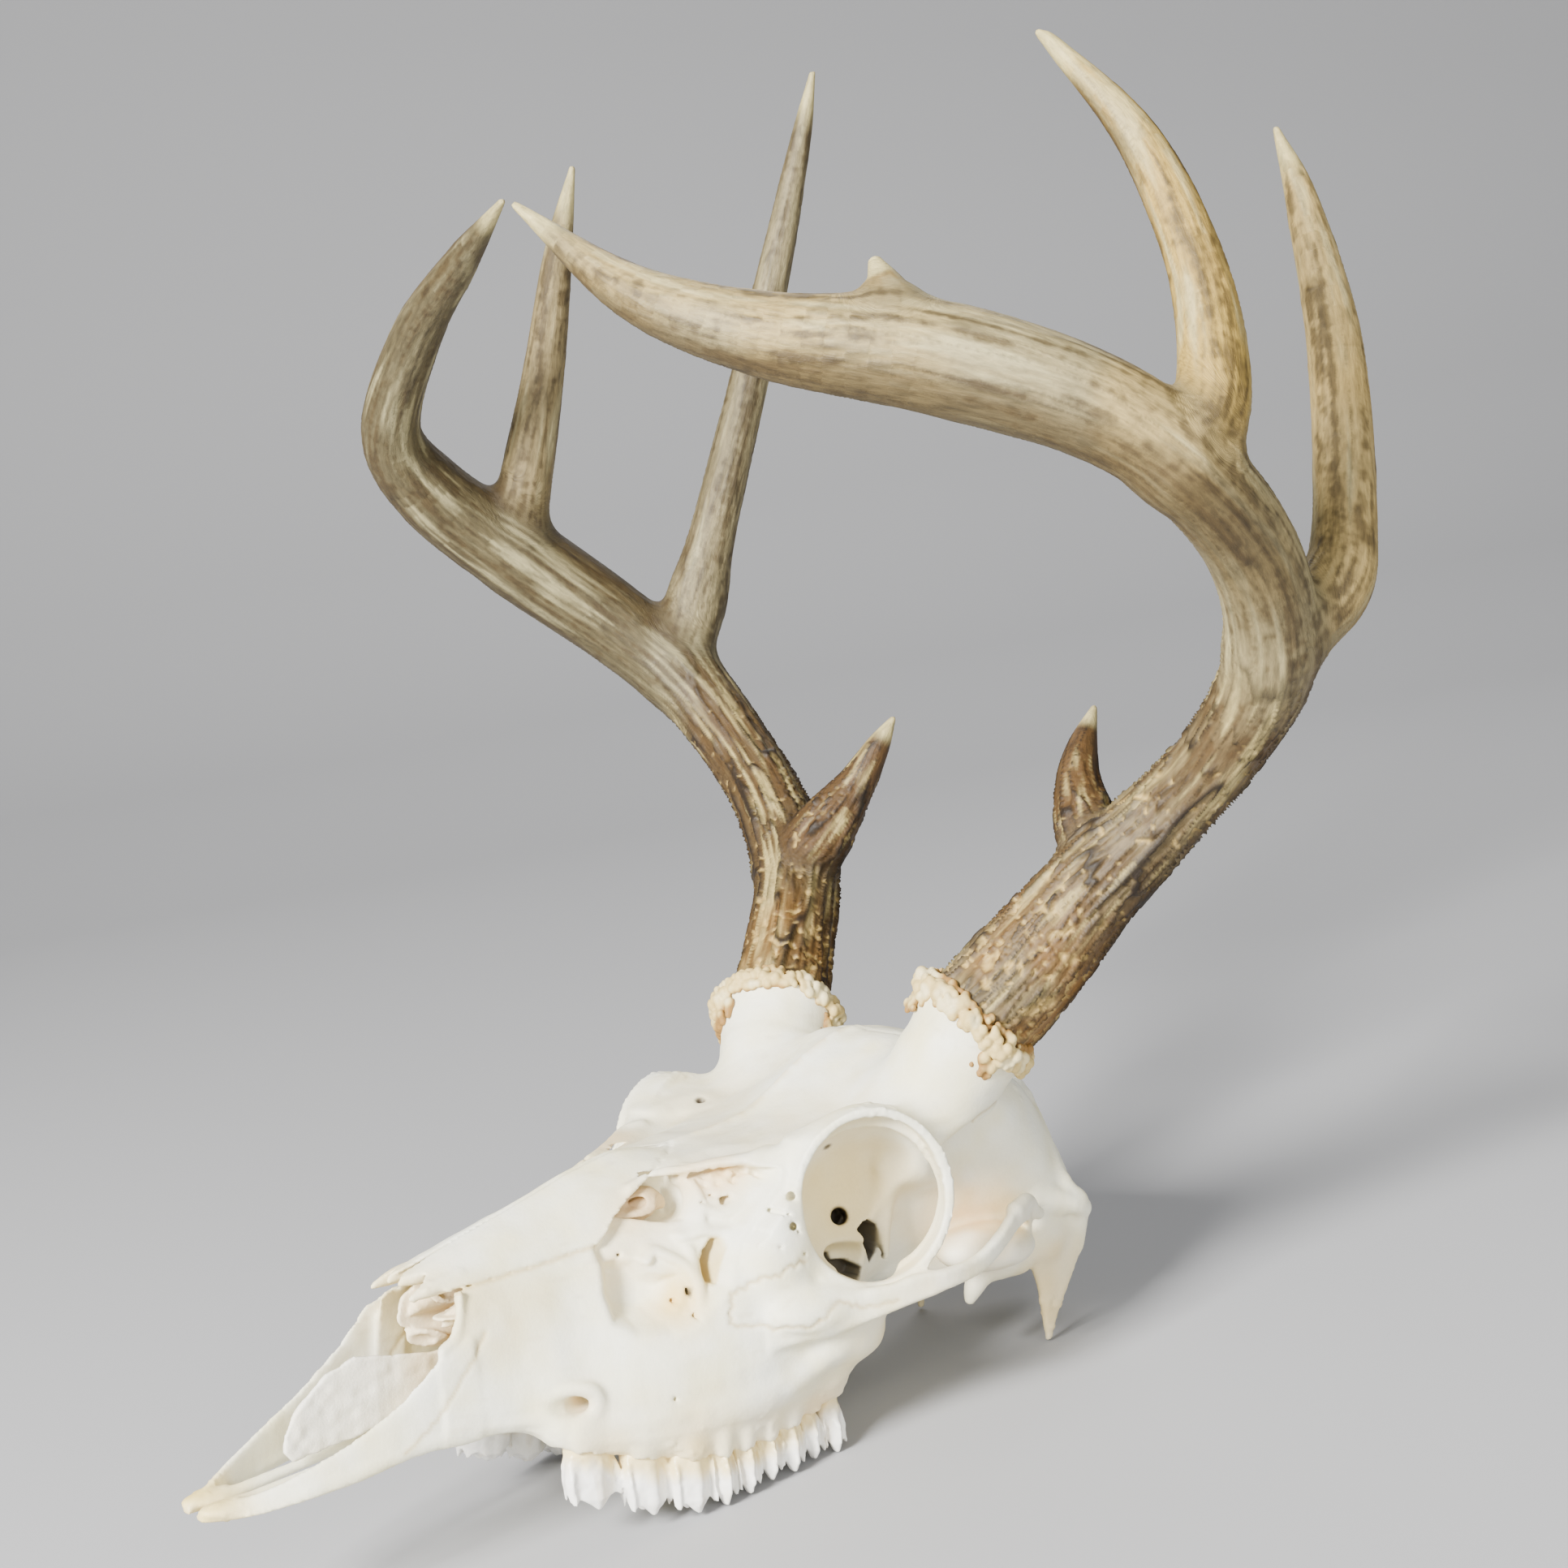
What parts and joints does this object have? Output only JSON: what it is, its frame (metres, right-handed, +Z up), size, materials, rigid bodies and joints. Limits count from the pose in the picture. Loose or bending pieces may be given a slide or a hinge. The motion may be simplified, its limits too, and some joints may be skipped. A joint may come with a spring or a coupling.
{
  "type": "deer skull with antlers",
  "caption": "Upper skull of a buck deer with both antlers still on it and no lower jaw, at rest on its cheek teeth and the back of its base.",
  "frame": {"origin": "on the floor, under the middle of the bounding box", "axes": "+X to the animal's left, +Y to the back of its head, +Z up; the nose points to -Y and the antlers stand up along +Z"},
  "size_m": [0.3342, 0.341, 0.3784],
  "materials": {
    "bone_white": "clean, dry, whitened bone, matt with a slight sheen",
    "bone_cream": "dry bone, cream and porous",
    "burr_cream": "rough, knobby, cream and tan",
    "antler_dark": "rough, grooved, dark brown antler with paler ridges",
    "antler_taupe": "dry, finely streaked, grey-brown antler",
    "antler_tan": "smooth, tan antler with ivory tips"
  },
  "bodies": {
    "root": {"left_brow_tine": "antler_dark", "left_burr": "burr_cream", "left_fourth_tine": "antler_tan", "left_frontal": "bone_white", "left_lacrimal": "bone_white", "left_lower_beam": "antler_dark", "left_maxilla": "bone_white", "left_middle_beam": "antler_taupe", "left_nasal": "bone_white", "left_premaxilla": "bone_white", "left_second_tine": "antler_tan", "left_temporal": "bone_cream", "left_third_tine": "antler_tan", "left_upper_beam": "antler_taupe", "left_zygomatic": "bone_white", "occipital": "bone_white", "parietal": "bone_white", "right_brow_tine": "antler_dark", "right_burr": "burr_cream", "right_frontal": "bone_white", "right_lacrimal": "bone_white", "right_lower_beam": "antler_dark", "right_maxilla": "bone_white", "right_middle_beam": "antler_taupe", "right_nasal": "bone_white", "right_premaxilla": "bone_white", "right_second_tine": "antler_tan", "right_temporal": "bone_cream", "right_third_tine": "antler_tan", "right_upper_beam": "antler_taupe", "right_zygomatic": "bone_white", "sphenoid": "bone_white", "vomer": "bone_cream"}
  },
  "joints": []
}
